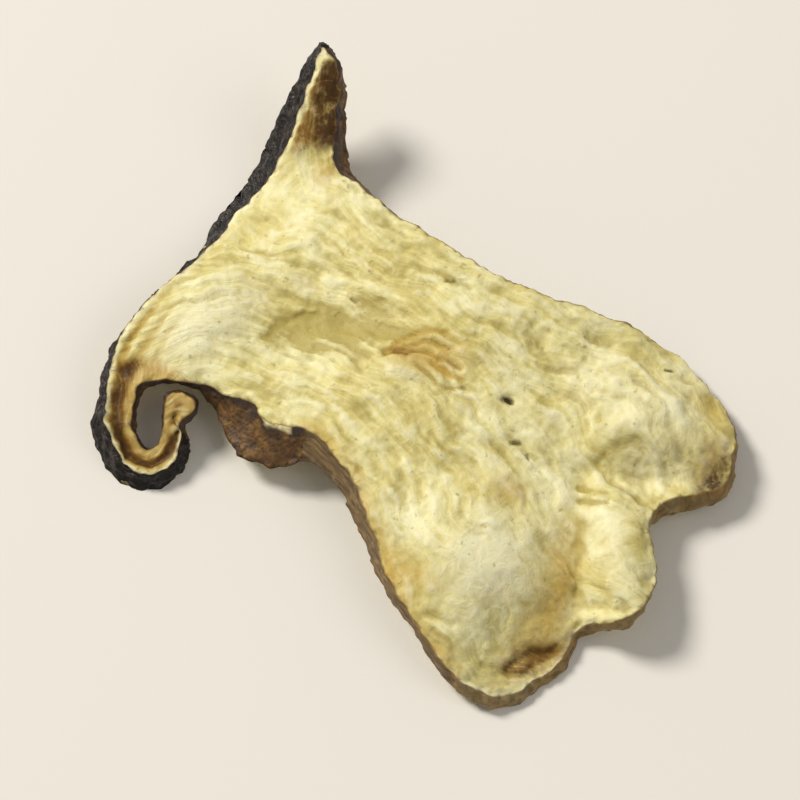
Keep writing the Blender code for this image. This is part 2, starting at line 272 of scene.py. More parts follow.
def edgeKinds(points):  # the name of the nearest edge for each point, with an uneven border between them
    names = list(porcini["edges"])
    jittered = points + swirl(points, porcini["edgeSwirl"])
    gaps = []
    for name in names:
        line = np.array(porcini["edges"][name])
        steps = [np.linspace(a, b, porcini["edgeSteps"]) for a, b in zip(line[:-1], line[1:])]
        gaps.append(np.linalg.norm(jittered[:, None, :2] - np.concatenate(steps), axis=2).min(axis=1))
    kinds = np.array([name.replace("Right", "") for name in names])
    return kinds[np.argmin(gaps, axis=0)]


def hornPlaces(points):  # how far out along the horn each point lies, and how far beside its axis
    turn = math.radians(porcini["hornTurn"])
    x, y = points[:, 0] - porcini["hornBase"][0], points[:, 1] - porcini["hornBase"][1]
    return x * math.cos(turn) + y * math.sin(turn), y * math.cos(turn) - x * math.sin(turn)


def fibreMap(thing, points, ribbon, capGap):  # a UV map: first across the fibres, then along them
    rows = np.array(porcini["faceSides"])
    heights = [points[:, 1] + shift for shift in porcini["faceEvening"]]
    left, right = (sum(np.interp(height, rows[:, 0], rows[:, side]) for height in heights) / len(heights)
                   for side in (1, 2))
    across = (points[:, 0] - (left + right) / 2) / ((right - left) / 2) * porcini["stemHalfWidth"]
    along = points[:, 1]

    # Up at the right they turn into the horn
    hornAlong, hornAcross = hornPlaces(points)
    base = int(np.hypot(hornAlong, hornAcross).argmin())
    onHorn = ease(hornAlong, -porcini["hornFade"], 2 * porcini["hornFade"])
    across = across + onHorn * (across[base] - hornAcross - across)
    along = along + onHorn * (along[base] + hornAlong - along)

    # At the left they go round the curl, from its root to its tip
    root = int(np.hypot(*(points[:, :2] - porcini["curlRoot"]).T).argmin())
    angle = np.arctan2(*(points[:, :2] - porcini["curlCentre"]).T[::-1])
    angle = np.where(angle < math.radians(porcini["curlSeam"]), angle + 2 * math.pi, angle)
    across = across + ribbon * (across[root] + capGap[root] - capGap - across)
    along = along + ribbon * (along[root] + porcini["curlRadius"] * (angle - angle[root]) - along)

    for kind in porcini["fibreWaves"]:
        across = across + (1 - porcini["hornCalm"] * onHorn) * swirl(points, kind)[:, 0]
    fibres = np.stack([across, along / porcini["fibreStretch"]], axis=1)
    layer = thing.data.uv_layers.new(name="fibres")
    layer.data.foreach_set("uv", (fibres[quads.ravel()] / porcini["fibreMapSize"]).ravel())


slab = copyOfNode(porcini["node"])
slab.name = slab.data.name = "porcini"
for finish in finishNames:
    slab.data.materials.append(bpy.data.materials.new(finish))
for face in slab.data.polygons:
    face.material_index = sideFace
for upward, rim, part in ((1, "upperRim", upperFace), (-1, "lowerRim", lowerFace)):
    cutFace(slab, upward)
    slab.active_material_index = part
    bpy.ops.object.material_slot_assign()
    markRim(slab, rim)
levels = porcini["subdivisions"]
applyModifier(slab, "SUBSURF", {"levels": levels, "render_levels": levels})
points = places(slab)
print("cut the copy into", len(slab.data.polygons), "faces")

# What each vertex is on, and how far it lies from the rims

quads = np.zeros(len(slab.data.loops), int)
slab.data.loops.foreach_get("vertex_index", quads)
quads = quads.reshape(-1, 4)
parts = np.zeros(len(quads), int)
slab.data.polygons.foreach_get("material_index", parts)
upperSamples = rimSamples(slab, points, "upperRim")
lowerSamples = rimSamples(slab, points, "lowerRim")
upperGap = gapsTo(points, upperSamples)
lowerGap = gapsTo(points, lowerSamples)
turnedUp = np.array([face.normal.z for face in slab.data.polygons]) > porcini["sideways"]
byLowerRim = lowerGap[quads].mean(axis=1) < porcini["edgeReach"]
parts[(parts == lowerFace) & turnedUp & byLowerRim] = sideFace
onSide = np.zeros(len(points), bool)
onSide[quads[parts == sideFace].ravel()] = True
isUpper = np.zeros(len(points), bool)
isUpper[quads[parts == upperFace].ravel()] = True
isUpper = isUpper & ~onSide


def gapOf(above, below):  # a cut face counts from its own rim, and the side from the nearer one
    return np.where(onSide, np.minimum(above, below), np.where(isUpper, above, below))


rimGap = gapOf(upperGap, lowerGap)
upperKinds = edgeKinds(upperSamples)
lowerKinds = edgeKinds(lowerSamples)
edgeGaps = {}
for kind in sideFinishes:
    edgeGaps[kind] = gapOf(gapsTo(points, upperSamples[upperKinds == kind]),
                           gapsTo(points, lowerSamples[lowerKinds == kind]))
ribbon = np.sqrt(blob(points, porcini["curl"])) * (points[:, 0] < porcini["curlEnd"])
ribbon = ease(ribbon, *porcini["curlFade"])
print("measured the rims")

# Each side face takes the finish of the edge that it belongs to

sideKinds = edgeKinds(points[quads].mean(axis=1))
finishes = np.zeros(len(quads), int)
for kind, finish in sideFinishes.items():
    finishes[(parts == sideFace) & (sideKinds == kind)] = finishNames.index(finish)
slab.data.polygons.foreach_set("material_index", finishes)
slab.data.update()
fibreMap(slab, points, ribbon, edgeGaps["cap"])
vertexFinish = np.zeros(len(points), int)
vertexFinish[quads.ravel()] = np.repeat(finishes, 4)


# Relief: wrinkles along the fibres and crinkles on the cut faces, deep wrinkles on the skin

relief = {
    "evening": 30,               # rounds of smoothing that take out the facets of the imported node
    "eveningStep": 0.5,
    "evenedFrom": (0.4, 1.0),    # they start this far in from the rim, and are full after so much more
    "steep": [(3.6, -22.6, 2.6, 2.6, 0)],  # a steep flank, which takes more rounds
    "steepEvening": 90,
    "steepStrength": 1.5,        # above 1, so that all of its middle takes them
    "smooth": [(-7.0, -18.5, 5.5, 5.0, 0), (-7.5, 19.0, 6.0, 3.5, 0), (1.5, -25.0, 4.5, 2.5, 57)],
    "smoothShare": 0.65,         # how much of the flesh's relief these spots lose
    "atRim": {                   # how much of the relief is left at the rim, and how far in it is whole
        "flesh": (0.15, 0.8), "capSkin": (0.4, 0.6), "tubes": (0.4, 0.6), "stemSkin": (0.4, 0.6)},
    "broad": [                   # sizes and heights are in millimetres, and UV means along the fibres
        {"name": "shrinkage", "on": "flesh", "texture": "CLOUDS", "size": 3.4, "coords": "LOCAL",
         "height": 0.7, "settings": {"noise_depth": 1}},
        {"name": "longFolds", "on": "flesh", "texture": "CLOUDS", "size": 4.0, "coords": "UV",
         "height": 0.4, "settings": {"noise_depth": 0}}],
    "fine": [
        {"name": "wrinkles", "on": "flesh", "texture": "CLOUDS", "size": 1.7, "coords": "UV",
         "height": 0.6, "settings": {"noise_depth": 1}},
        {"name": "crinkles", "on": "flesh", "texture": "CLOUDS", "size": 0.75, "coords": "LOCAL",
         "height": 0.24, "settings": {"noise_depth": 1}},
        {"name": "capWrinkles", "on": "capSkin", "texture": "MUSGRAVE", "size": 1.0, "coords": "LOCAL",
         "height": 0.5,
         "settings": {"musgrave_type": "RIDGED_MULTIFRACTAL", "octaves": 2, "noise_intensity": 0.6}},
        {"name": "tubeRows", "on": "tubes", "texture": "CLOUDS", "size": 0.7, "coords": "LOCAL",
         "height": 0.4, "settings": {"noise_depth": 1}},
        {"name": "stemFibres", "on": "stemSkin", "texture": "CLOUDS", "size": 0.8, "coords": "LOCAL",
         "height": 0.2, "settings": {"noise_depth": 1}}],
}


def addRelief(thing, layer):  # one texture, pushed out and in along the normals where its vertex group is
    texture = bpy.data.textures.new(layer["name"], layer["texture"])
    unit = mm if layer["coords"] == "LOCAL" else 1 / porcini["fibreMapSize"]
    texture.noise_scale = layer["size"] * unit
    for name, value in layer["settings"].items():
        setattr(texture, name, value)
    applyModifier(thing, "DISPLACE", {
        "texture": texture, "texture_coords": layer["coords"], "strength": layer["height"] * mm,
        "mid_level": 0.5, "vertex_group": layer["on"]})


smoothness = np.clip(sum(blob(points, spot) for spot in relief["smooth"]), 0, 1)
steepness = np.clip(sum(relief["steepStrength"] * blob(points, spot) for spot in relief["steep"]), 0, 1)
inner = ~onSide * ease(rimGap, *relief["evenedFrom"])
for name, weights, rounds in (("evened", inner, relief["evening"]),
                              ("steep", inner * steepness, relief["steepEvening"])):
    writeGroup(slab, name, weights)
    applyModifier(slab, "SMOOTH", {
        "factor": relief["eveningStep"], "iterations": rounds, "vertex_group": name})
for number, name in enumerate(finishNames):
    share, span = relief["atRim"][name]
    weights = (vertexFinish == number) * (share + (1 - share) * ease(rimGap, 0, span))
    if name == "flesh":
        weights = weights * (1 - relief["smoothShare"] * smoothness)
    writeGroup(slab, name, weights)

normals = directions(slab)
for layer in relief["broad"]:
    addRelief(slab, layer)
broad = places(slab)
for layer in relief["fine"]:
    addRelief(slab, layer)
shaped = places(slab)
raised = ((shaped - broad) * normals).sum(axis=1)
print("relief from", raised.min().round(2), "to", raised.max().round(2), "mm")

# Marks at their places, as seen from above. They go through the slice, so both cut faces have them

marks = {
    "creases": [                 # a line, its half width, its depth, and the stain in it with its strength; the olive in a crease is painted shade
        ([(2.0, -20.9), (-1.0, -23.3), (-5.0, -26.7)], 0.45, 0.15, "olive", 0.3),
        ([(7.0, -17.8), (9.6, -18.2), (11.9, -20.0), (13.3, -23.6)], 0.55, 0.15, "olive", 0.2),
        ([(-3.4, 14.2), (-1.6, 14.4), (0.4, 13.6), (2.0, 12.4)], 0.45, 0.22, "olive", 0.4),
        ([(2.4, 4.0), (4.8, 3.9), (6.6, 2.7), (7.6, 0.9)], 0.35, 0.22, "gold", 0.5),
        ([(2.4, 4.0), (4.3, 2.5), (5.1, 0.4), (5.9, -2.5)], 0.3, 0.25, "rust", 0.4),
        ([(4.2, 3.3), (5.8, 1.8), (6.9, -0.6)], 0.25, 0.22, "rust", 0.35),
        ([(3.3, 0.6), (3.3, -1.3), (3.5, -2.9), (4.6, -4.0)], 0.25, 0.22, "rust", 0.35),
        ([(3.0, 3.4), (3.5, 2.4), (4.2, 2.0)], 0.3, 0.2, "rust", 0.5),
        ([(4.4, -0.2), (4.6, -1.8), (5.2, -3.4)], 0.3, 0.2, "gold", 0.6),
        ([(-12.8, -24.8), (-10.9, -24.7), (-8.9, -26.0), (-7.9, -26.6)], 0.4, 0.25, "brown", 0.45),
        ([(-12.2, -26.0), (-10.4, -26.1), (-9.0, -26.8)], 0.3, 0.15, "brown", 0.3),
        ([(5.1, -18.0), (6.1, -20.6)], 0.3, 0.22, "olive", 0.6),
        ([(3.7, -19.3), (5.0, -21.2)], 0.3, 0.22, "olive", 0.6),
        ([(6.3, -7.4), (6.7, -8.0)], 0.3, 0.35, "speck", 1.1),
        ([(3.5, -10.8), (4.1, -11.4)], 0.18, 0.15, "speck", 0.7),
        ([(3.8, -12.5), (3.6, -13.1)], 0.18, 0.15, "speck", 0.6),
        ([(12.2, 4.8), (12.5, 4.3)], 0.22, 0.25, "speck", 0.8),
        ([(19.8, -16.4), (20.2, -16.8)], 0.22, 0.15, "speck", 0.9),
        ([(5.1, 11.0), (5.3, 10.5)], 0.18, 0.15, "speck", 0.6)],
    "creaseSwirl": (0.3, 1.1, 21),
    "dents": [                   # place, half length, half width, turn and depth
        (1.8, 9.8, 5.0, 2.4, -48, 0.45), (10.3, 8.8, 0.8, 0.5, -48, 0.25)],
    "stains": {                  # place, half length, half width, turn and strength; the olive ones are painted shade
        "olive": [(1.4, 9.6, 5.5, 3.0, -48, 0.35), (-12.0, -12.0, 3.0, 5.0, 0, 0.4),
                  (-19.5, 13.6, 3.2, 1.6, -48, 0.7)],
        # some pale spots are painted light on slopes turned from the lamp and painted highlights on bulges
        # and ridges
        "pale": [(-7.0, 19.3, 5.0, 3.0, 0, 1.0), (-1.5, 18.4, 3.0, 2.2, -48, 0.4),
                 (14.0, -14.0, 3.5, 6.0, 0, 0.5), (16.5, -20.5, 2.2, 4.0, 0, 0.5),
                 (11.2, -22.4, 3.2, 2.2, -48, 0.55), (2.0, -24.6, 4.8, 2.0, 57, 0.5),
                 (-7.0, -17.2, 4.6, 3.4, 20, 1.2), (-6.2, -22.6, 4.5, 2.2, 25, 0.25)],
        "gold": [(20.5, -23.0, 1.8, 4.5, 0, 0.45), (-0.2, -13.9, 2.4, 1.7, -48, 0.6),
                 (5.0, 0.6, 4.0, 2.2, -52, 0.8), (-3.0, -22.9, 6.5, 1.8, 33, 0.7),
                 (-9.0, -24.2, 4.5, 1.8, 8, 0.55), (-12.3, -12.6, 1.3, 3.0, 0, 0.5),
                 (13.6, 22.0, 1.6, 1.2, 0, 0.7)],
        "rust": [(3.5, 2.9, 1.5, 0.8, -60, 0.35), (-10.0, -25.9, 3.6, 1.3, -18, 1.0),
                 (15.5, -26.2, 3.5, 2.0, 20, 0.6)],
        "brown": [(14.6, -27.0, 3.0, 1.1, 0, 0.9), (-10.2, -25.8, 2.0, 0.8, -18, 0.15)],
        "speck": []},
}
swirledPoints = points + swirl(points, marks["creaseSwirl"])
pressed = sum(spot[5] * blob(points, spot) for spot in marks["dents"])
stainAndShadeMaps = {name: sum([spot[5] * blob(points, spot) for spot in spots], np.zeros(len(points)))
             for name, spots in marks["stains"].items()}
for line, halfWidth, depth, tint, strength in marks["creases"]:
    here = stroke(swirledPoints, line, halfWidth)
    pressed = pressed + depth * here
    stainAndShadeMaps[tint] = stainAndShadeMaps[tint] + strength * here

# Marks that follow the edges

edgeMarks = {                    # the curl has a pale rim, a browned groove and a pale inner edge
    "groove": (0.43, 0.19),      # its place on the way from the cap's edge to the tubes, and its half width
    "grooveSwirl": (0.1, 1.5, 22),
    "grooveDepth": 0.4,
    "innerEdge": (0.8, 0.12),
    "browned": (0.1, 0.7),       # from this gap to the cap's edge, over so much more
    "rings": [                   # gap to the cap's edge, half width and strength
        (1.0, 0.36, 1.0), (2.6, 0.4, 0.7), (4.1, 0.5, 0.45)],
    "ringSwirl": (0.25, 2.0, 23),
    "ringSide": (-3, -9),        # the rings come up to the left of this
    "ringDepth": 0.28,
    "hornSwirl": (0.8, 1.3, 25),
    "hornStart": (0.1, 2.6),     # the horn is browned, with a pale edge towards the skin and a pale tip
    "hornEnd": (9.5, -1.4),
    "hornEdgeSwirl": (0.35, 0.9, 26),
    "hornEdge": (0.35, 0.5),
    "hornShadeSide": (3.2, -2.2),     # painted shade on the side turned from the light, darkest near the tubes' edge
    "hornLight": 0.25,           # how dark it is away from there
    "capRimHighlight": 0.45,              # half widths of the painted highlights along the pale rims, and where the foot's highlight ends
    "footRimHighlight": 0.35,
    "footRimHighlightEnd": -4,
    "stemRim": 1.3,
    "stemSwirl": (0.4, 1.6, 27),
    "sliver": [(-9.9, 7.8), (-9.4, 5.8)],  # a pale torn sliver on the tubes
    "sliverHalfWidth": 0.45,
    "sliverSwirl": (0.3, 0.7, 28),
    "sliverDrop": (1.1, -0.5),
    "sliverFade": (0.25, 0.3),
    "stains": {                  # how strong each stain, painted shade and painted highlight is in each of these marks
        "pale": {"rimHighlight": 0.7, "innerEdge": 0.7},
        "gold": {"stemRim": 0.6, "rings": 0.8, "browned": 0.9, "horn": 0.6},
        "rust": {"groove": 1.1, "browned": 0.25, "rings": 0.2, "horn": 0.8},
        "brown": {"groove": 0.9, "hornBrownAndShade": 0.9}},
}
capGap, tubesGap = edgeGaps["cap"], edgeGaps["tubes"]
ribbonShare = capGap / (capGap + tubesGap + 1e-9)  # the last term keeps it from dividing by nothing
groovePlaces = ribbonShare + swirl(points, edgeMarks["grooveSwirl"])[:, 0]
ringPlaces = capGap + swirl(points, edgeMarks["ringSwirl"])[:, 0]
hornAlong = hornPlaces(points)[0] + swirl(points, edgeMarks["hornSwirl"])[:, 0]
hornGap = capGap + swirl(points, edgeMarks["hornEdgeSwirl"])[:, 0]
stemGap = edgeGaps["stem"] + swirl(points, edgeMarks["stemSwirl"])[:, 0]

rings = sum(strength * near(ringPlaces, gap, halfWidth) for gap, halfWidth, strength in edgeMarks["rings"])
rings = rings * ease(points[:, 0], *edgeMarks["ringSide"]) * (1 - ribbon)
horn = ease(hornAlong, *edgeMarks["hornStart"]) * ease(hornAlong, *edgeMarks["hornEnd"])
horn = horn * ease(hornGap, *edgeMarks["hornEdge"])
# painted shade over the horn's browning, deepest towards the tubes' edge
hornShadeSide = edgeMarks["hornLight"] + (1 - edgeMarks["hornLight"]) * ease(tubesGap, *edgeMarks["hornShadeSide"])
footRimHighlight = near(edgeGaps["foot"], 0, edgeMarks["footRimHighlight"]) * (points[:, 0] < edgeMarks["footRimHighlightEnd"])
found = {
    "groove": near(groovePlaces, *edgeMarks["groove"]) * ribbon,
    "innerEdge": near(ribbonShare, *edgeMarks["innerEdge"]) * ribbon,
    "browned": ease(capGap, *edgeMarks["browned"]) * ribbon,
    "rings": rings,
    "horn": horn,
    "hornBrownAndShade": horn * hornShadeSide,
    # painted highlight along the cap's and the foot's rims
    "rimHighlight": near(capGap, 0, edgeMarks["capRimHighlight"]) + footRimHighlight,
    "stemRim": near(stemGap, 0, edgeMarks["stemRim"]) * (points[:, 0] < 0),
}
for tint, strengths in edgeMarks["stains"].items():
    for name, strength in strengths.items():
        stainAndShadeMaps[tint] = stainAndShadeMaps[tint] + strength * found[name]
pressed = pressed + edgeMarks["grooveDepth"] * found["groove"] + edgeMarks["ringDepth"] * rings
sliverPlaces = points + swirl(points, edgeMarks["sliverSwirl"])
sliver = stroke(sliverPlaces, edgeMarks["sliver"], edgeMarks["sliverHalfWidth"])
sliver = ease(sliver * ease(upperGap, *edgeMarks["sliverDrop"]), *edgeMarks["sliverFade"])
shaped = shaped - normals * (pressed * ~onSide)[:, None]
raised = raised - pressed * ~onSide

# Ragged rims, more so where the horn is torn

rims = {
    "reach": 0.9,
    "swirls": [(0.28, 1.3, 1), (0.14, 0.6, 2)],
    "tornShare": 0.6,
    "overhang": 0.02,            # how far past the solid's box they may stand, as a share of its sides
}
torn = np.clip(horn, 0, 1) * rims["tornShare"] + 1
nearRim = near(np.minimum(upperGap, lowerGap), 0, rims["reach"])
shaped = shaped + (nearRim * torn)[:, None] * sum(swirl(points, kind) for kind in rims["swirls"])
low, high = np.array(cadBox) / mm
overhang = rims["overhang"] * (high - low)
shaped = np.clip(shaped, low - overhang * [1, 1, 0], high + overhang)  # nothing goes below the floor
moveTo(slab, shaped)

writeValues(slab, "raised", raised)
writeValues(slab, "side", onSide)
writeValues(slab, "upperGap", upperGap)
writeValues(slab, "sliver", sliver)
for name, amounts in stainAndShadeMaps.items():
    writeValues(slab, name, amounts)
only(slab)
bpy.ops.object.shade_smooth()
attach(slab, porcini["body"])
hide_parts(porcini["node"])
print("shaped the slice")


# Materials. Their coordinates are in millimetres, and each pattern's size is a real one

def socketOf(sockets, name):  # by its number, or the one of that name that is in use
    if isinstance(name, int):
        return sockets[name]
    return next(socket for socket in sockets if socket.name == name and socket.enabled)


def addNode(tree, kind, settings=None, links=None, give=None):  # a new node, or the output asked for
    node = tree.nodes.new("ShaderNode" + kind)
    for name, value in (settings or {}).items():
        if name == "stops":
            while len(node.color_ramp.elements) < len(value):
                node.color_ramp.elements.new(0.5)
            for element, (place, colour) in zip(node.color_ramp.elements, value):
                element.position = place
                element.color = linear(colour)
        elif isinstance(name, int) or name[0].isupper():
            socketOf(node.inputs, name).default_value = value
        else:
            setattr(node, name, value)
    for name, source in (links or {}).items():
        tree.links.new(source, socketOf(node.inputs, name))
    return socketOf(node.outputs, give) if give else node


def startMaterial(name):  # an empty tree
    material = bpy.data.materials.get(name) or bpy.data.materials.new(name)
    material.use_nodes = True
    material.node_tree.nodes.clear()
    return material.node_tree


def millimetres(tree):  # the place on the slice, in millimetres
    spot = addNode(tree, "TexCoord", give="Object")
    return addNode(tree, "VectorMath", {"operation": "SCALE", "Scale": 1 / mm}, {0: spot}, "Vector")


def finishMaterial(tree, settings, links=None, bumps=()):  # the shader, with its bumps one on the other
    joins = dict(links or {})
    for depth, height in bumps:
        sources = {"Height": height}
        if "Normal" in joins:
            sources["Normal"] = joins["Normal"]
        joins["Normal"] = addNode(tree, "Bump", {"Distance": depth * mm}, sources, "Normal")
    shader = addNode(tree, "BsdfPrincipled", settings, joins)
    addNode(tree, "OutputMaterial", {}, {"Surface": shader.outputs["BSDF"]})


fleshLook = {                    # dried flesh, as sliced: waxy, straw coloured, browned where it is thin; with painted shade in its hollows and painted highlights on its ridges
    "tones": [(0.32, "#D3C57D"), (0.5, "#DFD493"), (0.68, "#EAE3AF")],
    "toneSize": 6.0,
    "streakSize": 0.9,
    "threadSize": 0.32,
    "threadStretch": 2.5,        # how much longer the fine threads are than the wrinkles
    "wormSize": 1.2,
    "layerShares": (0.55, 0.35, 0.3),  # streaks, threads and worm-like wrinkles in the colour
    "layerRange": (0.25, 0.75),  # a range is where it starts, where it is full, and how much full is
    "bumps": (0.18, 0.045, 0.1),  # the same three in the relief
    "strandShare": 0.6,          # threads against streaks in a streaky stain
    "relief": [                  # painted shade on what lies low and painted highlight on what stands out: the colour and its range
        ("#B2A25C", -0.02, -0.2, 0.9),
        ("#F2ECC6", 0.03, 0.16, 0.6)],
    "stains": [                  # name, colour, how streaky, how strong
        # olive is painted shade; pale is partly painted light and painted highlight
        ("olive", "#B09E4C", 0.3, 0.8),
        ("pale", "#F0EBC6", 0.2, 0.8),
        ("gold", "#BE9A3C", 0.6, 0.8),
        ("rust", "#855B12", 0.6, 0.9),
        ("brown", "#452904", 0.3, 0.92),
        ("speck", "#33270F", 0.0, 0.95)],
    "stainRange": (0.1, 0.9),
    "brokenShare": 0.5,          # how much the wrinkles and strands break up a stain
    "brokenRange": (0.3, 0.7),
    "fleck": "#857233",
    "fleckSize": 0.75,
    "fleckRange": (0.66, 0.74, 0.42),
    "torn": [(0.35, "#4F3717"), (0.62, "#8A6633")],  # on the side, under the foot's rim: browned torn flesh, darkened further as painted shade in the notches
    "tornShare": 0.85,
    "shader": {"Roughness": 0.58, "Specular IOR Level": 0.3, "Subsurface Weight": 0.1,
               "Subsurface Scale": 0.8 * mm, "Subsurface Radius": (1.0, 0.6, 0.3)},
}


def makeFlesh():
    look = fleshLook
    tree = startMaterial("flesh")
    spot = millimetres(tree)
    fibres = addNode(tree, "UVMap", {"uv_map": "fibres"}, give="UV")
    fibres = addNode(tree, "VectorMath", {"operation": "SCALE", "Scale": porcini["fibreMapSize"]},
                     {0: fibres}, "Vector")
    drawn = addNode(tree, "VectorMath", {"operation": "MULTIPLY", 1: (1, 1 / look["threadStretch"], 1)},
                    {0: fibres}, "Vector")
    tone = addNode(tree, "TexNoise", {"Scale": 1 / look["toneSize"], "Detail": 2}, {"Vector": spot}, "Fac")
    streaks = addNode(tree, "TexNoise", {"Scale": 1 / look["streakSize"], "Detail": 3, "Roughness": 0.6},
                      {"Vector": fibres}, "Fac")
    threads = addNode(tree, "TexNoise", {"Scale": 1 / look["threadSize"], "Detail": 2},
                      {"Vector": drawn}, "Fac")
    worms = addNode(tree, "TexNoise", {"Scale": 1 / look["wormSize"], "Detail": 3, "Roughness": 0.6,
                                       "Distortion": 1.1}, {"Vector": spot}, "Fac")
    strands = addNode(tree, "Mix", {"data_type": "FLOAT", "Factor": look["strandShare"]},
                      {"A": streaks, "B": threads}, "Result")
    colour = addNode(tree, "ValToRGB", {"stops": look["tones"]}, {"Fac": tone}, "Color")
    dark, light = look["layerRange"]
    for layer, share in zip((streaks, threads, worms), look["layerShares"]):
        grey = addNode(tree, "MapRange", {"From Min": dark, "From Max": light}, {"Value": layer}, "Result")
        colour = addNode(tree, "Mix", {"data_type": "RGBA", "blend_type": "SOFT_LIGHT", "Factor": share},
                         {"A": colour, "B": grey}, "Result")

    # What is laid over it, one after the other: painted shade on the low places and painted highlights on
    # the high ones, the stains (the olive one painted shade, the pale one partly painted light) and the
    # flecks
    covers = []
    raisedHere = addNode(tree, "Attribute", {"attribute_name": "raised"}, give="Fac")
    # painted shade where the relief lies low, painted highlight where it stands out
    for cover, start, full, most in look["relief"]:
        amount = addNode(tree, "MapRange", {"From Min": start, "From Max": full, "To Max": most},
                         {"Value": raisedHere}, "Result")
        covers.append((cover, amount))
    start, full = look["stainRange"]
    thin, thick = look["brokenRange"]
    for name, cover, streaky, most in look["stains"]:
        there = addNode(tree, "Attribute", {"attribute_name": name}, give="Fac")
        broken = addNode(tree, "Mix", {"data_type": "FLOAT", "Factor": streaky},
                         {"A": worms, "B": strands}, "Result")
        reach = look["brokenShare"] * (1 + streaky)
        broken = addNode(tree, "MapRange", {"From Min": thin, "From Max": thick, "To Min": -reach,
                                            "To Max": reach}, {"Value": broken}, "Result")
        amount = addNode(tree, "Math", {"operation": "MULTIPLY_ADD"},
                         {0: broken, 1: there, 2: there}, "Value")
        amount = addNode(tree, "MapRange", {"From Min": start, "From Max": full, "To Max": most},
                         {"Value": amount}, "Result")
        covers.append((cover, amount))
    dots = addNode(tree, "TexNoise", {"Scale": 1 / look["fleckSize"], "Detail": 2}, {"Vector": spot}, "Fac")
    start, full, most = look["fleckRange"]
    flecks = addNode(tree, "MapRange", {"From Min": start, "From Max": full, "To Max": most},
                     {"Value": dots}, "Result")
    covers.append((look["fleck"], flecks))
    for cover, amount in covers:
        colour = addNode(tree, "Mix", {"data_type": "RGBA", "B": linear(cover)},
                         {"Factor": amount, "A": colour}, "Result")

    # the side faces turn to a torn brown: browned flesh, darkened further as painted shade
    side = addNode(tree, "Attribute", {"attribute_name": "side"}, give="Fac")
    torn = addNode(tree, "Math", {"operation": "MULTIPLY", 1: look["tornShare"]}, {0: side}, "Value")
    tornAndShadedTone = addNode(tree, "ValToRGB", {"stops": look["torn"]}, {"Fac": worms}, "Color")
    colour = addNode(tree, "Mix", {"data_type": "RGBA"},
                     {"Factor": torn, "A": colour, "B": tornAndShadedTone}, "Result")
    bumps = zip(look["bumps"], (streaks, threads, worms))
    finishMaterial(tree, look["shader"], {"Base Color": colour}, bumps)


skinLook = {                     # cap skin: a thin leathery cuticle, dried to near black, with painted grey highlights on its crests
    "tones": [(0.3, "#0E0A09"), (0.55, "#1C1410"), (0.75, "#352A22")],
    "blotchSize": 1.6,
    "crestHighlight": "#6F655F",
    "crestHighlightRange": (0.02, 0.2, 0.5),
    "wrinkleSize": 0.42,
    "wrinkleDepth": 0.16,
    "shader": {"Roughness": 0.42, "Specular IOR Level": 0.35},
}


def makeCapSkin():
    look = skinLook
    tree = startMaterial("capSkin")
    spot = millimetres(tree)
    blotch = addNode(tree, "TexNoise", {"Scale": 1 / look["blotchSize"], "Detail": 4},
                     {"Vector": spot}, "Fac")
    wrinkle = addNode(tree, "TexNoise", {"Scale": 1 / look["wrinkleSize"], "Detail": 3, "Distortion": 1.0},
                      {"Vector": spot}, "Fac")
    colour = addNode(tree, "ValToRGB", {"stops": look["tones"]}, {"Fac": blotch}, "Color")
    # painted grey highlight where the wrinkles stand out
    raisedHere = addNode(tree, "Attribute", {"attribute_name": "raised"}, give="Fac")
    start, full, most = look["crestHighlightRange"]
    high = addNode(tree, "MapRange", {"From Min": start, "From Max": full, "To Max": most},
                   {"Value": raisedHere}, "Result")
    colour = addNode(tree, "Mix", {"data_type": "RGBA", "B": linear(look["crestHighlight"])},
                     {"Factor": high, "A": colour}, "Result")
    finishMaterial(tree, look["shader"], {"Base Color": colour}, [(look["wrinkleDepth"], wrinkle)])


tubesLook = {                    # tube layer: the spongy pore mat under the cap, dried amber brown, its tones darkened as painted shade under the cap
    "tones": [(0.3, "#33230F"), (0.5, "#573B19"), (0.7, "#7E5C2C")],
    "blotchSize": 1.5,
    "blotchDepth": 0.16,
    "poreSize": 0.45,
    "poreDepth": 0.07,
    "poreShift": (0.9, 0.9, 0.9),  # how far the pores stray from their rows
    "poreRange": (0.1, 0.6),
    "poreShare": 0.35,
    "rimShade": "#3A2C28",           # painted shade: a dark band below the upper rim
    "rimShadeRange": (2.2, 1.4, 0.8),
    "rimShadeUneven": 1.8,
    "sliver": "#E6D8A2",
    "shader": {"Roughness": 0.6},
}


